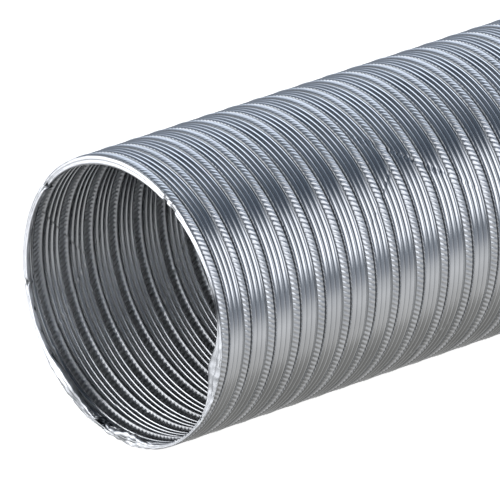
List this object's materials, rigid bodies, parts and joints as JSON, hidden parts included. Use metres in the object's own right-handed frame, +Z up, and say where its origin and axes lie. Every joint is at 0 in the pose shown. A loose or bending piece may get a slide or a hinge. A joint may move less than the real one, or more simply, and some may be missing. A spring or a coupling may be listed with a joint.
{
  "type": "flexible air duct",
  "caption": "Round semi-rigid aluminium air duct: a ribbed foil strip wound in a spiral and locked along a knurled seam, open at both ends, for ventilation runs.",
  "frame": {"origin": "on the floor, under the middle of the duct's length", "axes": "+Y along the duct from the front cut end to the rear cut end, +Z up"},
  "size_m": [0.125, 0.297, 0.125],
  "materials": {
    "knurled_seam": "knurled, satin",
    "ribbed_foil": "bright rolled foil",
    "folded_edge": "bright creased foil"
  },
  "bodies": {
    "turn_01": {"front_hem": "folded_edge", "lock_seam_01": "knurled_seam", "ribbed_web_01": "ribbed_foil"},
    "turn_02": {"lock_seam_02": "knurled_seam", "ribbed_web_02": "ribbed_foil"},
    "turn_03": {"lock_seam_03": "knurled_seam", "ribbed_web_03": "ribbed_foil"},
    "turn_04": {"lock_seam_04": "knurled_seam", "ribbed_web_04": "ribbed_foil"},
    "turn_05": {"lock_seam_05": "knurled_seam", "ribbed_web_05": "ribbed_foil"},
    "turn_06": {"lock_seam_06": "knurled_seam", "ribbed_web_06": "ribbed_foil"},
    "turn_07": {"lock_seam_07": "knurled_seam", "ribbed_web_07": "ribbed_foil"},
    "turn_08": {"lock_seam_08": "knurled_seam", "ribbed_web_08": "ribbed_foil"},
    "turn_09": {"lock_seam_09": "knurled_seam", "ribbed_web_09": "ribbed_foil"},
    "turn_10": {"lock_seam_10": "knurled_seam", "ribbed_web_10": "ribbed_foil"},
    "turn_11": {"lock_seam_11": "knurled_seam", "ribbed_web_11": "ribbed_foil"},
    "turn_12": {"lock_seam_12": "knurled_seam", "ribbed_web_12": "ribbed_foil"},
    "turn_13": {"lock_seam_13": "knurled_seam", "ribbed_web_13": "ribbed_foil"},
    "turn_14": {"lock_seam_14": "knurled_seam", "ribbed_web_14": "ribbed_foil"},
    "turn_15": {"lock_seam_15": "knurled_seam", "ribbed_web_15": "ribbed_foil"},
    "turn_16": {"lock_seam_16": "knurled_seam", "ribbed_web_16": "ribbed_foil"},
    "turn_17": {"lock_seam_17": "knurled_seam", "ribbed_web_17": "ribbed_foil"},
    "turn_18": {"lock_seam_18": "knurled_seam", "ribbed_web_18": "ribbed_foil"},
    "turn_19": {"lock_seam_19": "knurled_seam", "ribbed_web_19": "ribbed_foil"},
    "turn_20": {"lock_seam_20": "knurled_seam", "ribbed_web_20": "ribbed_foil"},
    "turn_21": {"lock_seam_21": "knurled_seam", "ribbed_web_21": "ribbed_foil"},
    "turn_22": {"lock_seam_22": "knurled_seam", "ribbed_web_22": "ribbed_foil", "rear_hem": "folded_edge"}
  },
  "joints": [
    {"name": "side_bend_1", "type": "hinge", "parent": "turn_01", "child": "turn_02", "pos_m": [0, -0.13203, 0.0625], "axis": [0, 0, 1], "range_deg": [-6, 6], "deforming": ["ribbed_web_01"]},
    {"name": "stretch_1", "type": "slide", "parent": "turn_02", "child": "turn_03", "axis": [0, 1, 0], "range_m": [-0.003, 0.0135], "deforming": ["ribbed_web_02"]},
    {"name": "up_bend_1", "type": "hinge", "parent": "turn_03", "child": "turn_04", "pos_m": [0, -0.10503, 0.0625], "axis": [1, 0, 0], "range_deg": [0, 6], "deforming": ["ribbed_web_03"]},
    {"name": "side_bend_2", "type": "hinge", "parent": "turn_04", "child": "turn_05", "pos_m": [0, -0.09153, 0.0625], "axis": [0, 0, 1], "range_deg": [-6, 6], "deforming": ["ribbed_web_04"]},
    {"name": "stretch_2", "type": "slide", "parent": "turn_05", "child": "turn_06", "axis": [0, 1, 0], "range_m": [-0.003, 0.0135], "deforming": ["ribbed_web_05"]},
    {"name": "up_bend_2", "type": "hinge", "parent": "turn_06", "child": "turn_07", "pos_m": [0, -0.06453, 0.0625], "axis": [1, 0, 0], "range_deg": [0, 6], "deforming": ["ribbed_web_06"]},
    {"name": "side_bend_3", "type": "hinge", "parent": "turn_07", "child": "turn_08", "pos_m": [0, -0.05103, 0.0625], "axis": [0, 0, 1], "range_deg": [-6, 6], "deforming": ["ribbed_web_07"]},
    {"name": "stretch_3", "type": "slide", "parent": "turn_08", "child": "turn_09", "axis": [0, 1, 0], "range_m": [-0.003, 0.0135], "deforming": ["ribbed_web_08"]},
    {"name": "up_bend_3", "type": "hinge", "parent": "turn_09", "child": "turn_10", "pos_m": [0, -0.02403, 0.0625], "axis": [1, 0, 0], "range_deg": [0, 6], "deforming": ["ribbed_web_09"]},
    {"name": "side_bend_4", "type": "hinge", "parent": "turn_10", "child": "turn_11", "pos_m": [0, -0.01053, 0.0625], "axis": [0, 0, 1], "range_deg": [-6, 6], "deforming": ["ribbed_web_10"]},
    {"name": "stretch_4", "type": "slide", "parent": "turn_11", "child": "turn_12", "axis": [0, 1, 0], "range_m": [-0.003, 0.0135], "deforming": ["ribbed_web_11"]},
    {"name": "up_bend_4", "type": "hinge", "parent": "turn_12", "child": "turn_13", "pos_m": [0, 0.01647, 0.0625], "axis": [1, 0, 0], "range_deg": [0, 6], "deforming": ["ribbed_web_12"]},
    {"name": "side_bend_5", "type": "hinge", "parent": "turn_13", "child": "turn_14", "pos_m": [0, 0.02997, 0.0625], "axis": [0, 0, 1], "range_deg": [-6, 6], "deforming": ["ribbed_web_13"]},
    {"name": "stretch_5", "type": "slide", "parent": "turn_14", "child": "turn_15", "axis": [0, 1, 0], "range_m": [-0.003, 0.0135], "deforming": ["ribbed_web_14"]},
    {"name": "up_bend_5", "type": "hinge", "parent": "turn_15", "child": "turn_16", "pos_m": [0, 0.05697, 0.0625], "axis": [1, 0, 0], "range_deg": [0, 6], "deforming": ["ribbed_web_15"]},
    {"name": "side_bend_6", "type": "hinge", "parent": "turn_16", "child": "turn_17", "pos_m": [0, 0.07047, 0.0625], "axis": [0, 0, 1], "range_deg": [-6, 6], "deforming": ["ribbed_web_16"]},
    {"name": "stretch_6", "type": "slide", "parent": "turn_17", "child": "turn_18", "axis": [0, 1, 0], "range_m": [-0.003, 0.0135], "deforming": ["ribbed_web_17"]},
    {"name": "up_bend_6", "type": "hinge", "parent": "turn_18", "child": "turn_19", "pos_m": [0, 0.09747, 0.0625], "axis": [1, 0, 0], "range_deg": [0, 6], "deforming": ["ribbed_web_18"]},
    {"name": "side_bend_7", "type": "hinge", "parent": "turn_19", "child": "turn_20", "pos_m": [0, 0.11097, 0.0625], "axis": [0, 0, 1], "range_deg": [-6, 6], "deforming": ["ribbed_web_19"]},
    {"name": "stretch_7", "type": "slide", "parent": "turn_20", "child": "turn_21", "axis": [0, 1, 0], "range_m": [-0.003, 0.0135], "deforming": ["ribbed_web_20"]},
    {"name": "up_bend_7", "type": "hinge", "parent": "turn_21", "child": "turn_22", "pos_m": [0, 0.13797, 0.0625], "axis": [1, 0, 0], "range_deg": [0, 6], "deforming": ["ribbed_web_21"]}
  ],
  "couplings": [
    {"joint": "side_bend_2", "follows": "side_bend_1", "ratio": 1},
    {"joint": "stretch_2", "follows": "stretch_1", "ratio": 1},
    {"joint": "up_bend_2", "follows": "up_bend_1", "ratio": 1},
    {"joint": "side_bend_3", "follows": "side_bend_1", "ratio": 1},
    {"joint": "stretch_3", "follows": "stretch_1", "ratio": 1},
    {"joint": "up_bend_3", "follows": "up_bend_1", "ratio": 1},
    {"joint": "side_bend_4", "follows": "side_bend_1", "ratio": 1},
    {"joint": "stretch_4", "follows": "stretch_1", "ratio": 1},
    {"joint": "up_bend_4", "follows": "up_bend_1", "ratio": 1},
    {"joint": "side_bend_5", "follows": "side_bend_1", "ratio": 1},
    {"joint": "stretch_5", "follows": "stretch_1", "ratio": 1},
    {"joint": "up_bend_5", "follows": "up_bend_1", "ratio": 1},
    {"joint": "side_bend_6", "follows": "side_bend_1", "ratio": 1},
    {"joint": "stretch_6", "follows": "stretch_1", "ratio": 1},
    {"joint": "up_bend_6", "follows": "up_bend_1", "ratio": 1},
    {"joint": "side_bend_7", "follows": "side_bend_1", "ratio": 1},
    {"joint": "stretch_7", "follows": "stretch_1", "ratio": 1},
    {"joint": "up_bend_7", "follows": "up_bend_1", "ratio": 1}
  ]
}
